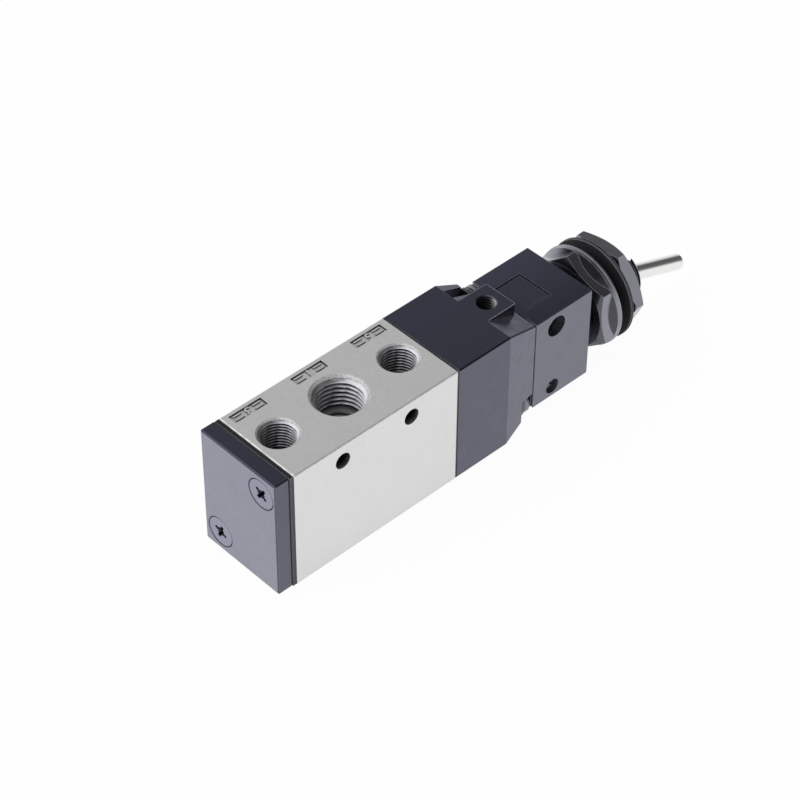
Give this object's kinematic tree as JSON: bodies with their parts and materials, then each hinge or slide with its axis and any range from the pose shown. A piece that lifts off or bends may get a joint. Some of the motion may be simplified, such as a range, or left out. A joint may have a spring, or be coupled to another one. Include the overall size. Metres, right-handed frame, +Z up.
{
  "type": "hand lever air valve",
  "caption": "Slim air valve with a bright ported body, dark end blocks and a small toggle lever on a threaded panel bushing at one end.",
  "frame": {"origin": "centre of the valve body's bottom face, which the valve rests on", "axes": "+X along the spool towards the toggle lever, +Z up through the supply and exhaust ports, -Y towards the side with the pilot block's screw and pin"},
  "size_m": [0.1497, 0.0276, 0.035],
  "materials": {
    "body_aluminium": "fine satin, clear anodised, with milled faces",
    "black_anodised": "black anodised, semi-gloss",
    "black_nut_metal": "black anodised, glossy, bright worn edges",
    "black_screw_steel": "black oxide steel",
    "black_rubber": "dull moulded nitrile sheet",
    "seal_rubber": "smooth moulded nitrile",
    "polished_steel": "ground and polished, fine turning marks",
    "bright_steel": "turned",
    "spring_steel": "drawn wire",
    "spool_aluminium": "turned and polished",
    "white_resin": "moulded acetal"
  },
  "bodies": {
    "housing": {"valve_body": "body_aluminium", "end_cap": "black_anodised", "end_cap_gasket": "black_rubber", "end_cap_screws": "black_screw_steel", "adapter_gasket": "black_rubber", "adapter_block": "black_anodised", "adapter_screws": "black_screw_steel", "adapter_screw_washers": "black_screw_steel", "pilot_gasket": "black_rubber", "pilot_block": "black_anodised", "pilot_cross_screw": "black_screw_steel", "pilot_lock_pin": "bright_steel", "toggle_bushing": "black_nut_metal", "panel_nut_inner": "black_nut_metal", "panel_washer": "black_nut_metal", "panel_packing": "black_nut_metal", "panel_nut_outer": "black_nut_metal", "lever_pivot_pin": "bright_steel", "plunger_seal": "seal_rubber", "pilot_spring": "spring_steel", "return_spring": "spring_steel"},
    "lever": {"toggle_lever": "polished_steel"},
    "plunger": {"pilot_plunger": "bright_steel", "pilot_poppet": "seal_rubber"},
    "spool": {"spool": "spool_aluminium", "spool_seals": "seal_rubber", "pilot_piston": "white_resin", "piston_seal": "seal_rubber"}
  },
  "joints": [
    {"name": "lever_hinge", "type": "hinge", "parent": "housing", "child": "lever", "pos_m": [0.09015, 0, 0.0175], "axis": [0, -1, 0], "range_deg": [0, 40]},
    {"name": "plunger_slide", "type": "slide", "parent": "housing", "child": "plunger", "axis": [-1, 0, 0], "range_m": [0, 0.0015], "deforming": ["pilot_spring"]},
    {"name": "spool_slide", "type": "slide", "parent": "housing", "child": "spool", "axis": [-1, 0, 0], "range_m": [0, 0.003], "deforming": ["return_spring"]}
  ],
  "couplings": [
    {"joint": "plunger_slide", "follows": "lever_hinge", "m_per_rad": 0.0021485},
    {"joint": "spool_slide", "follows": "lever_hinge", "m_per_rad": 0.0042971}
  ]
}
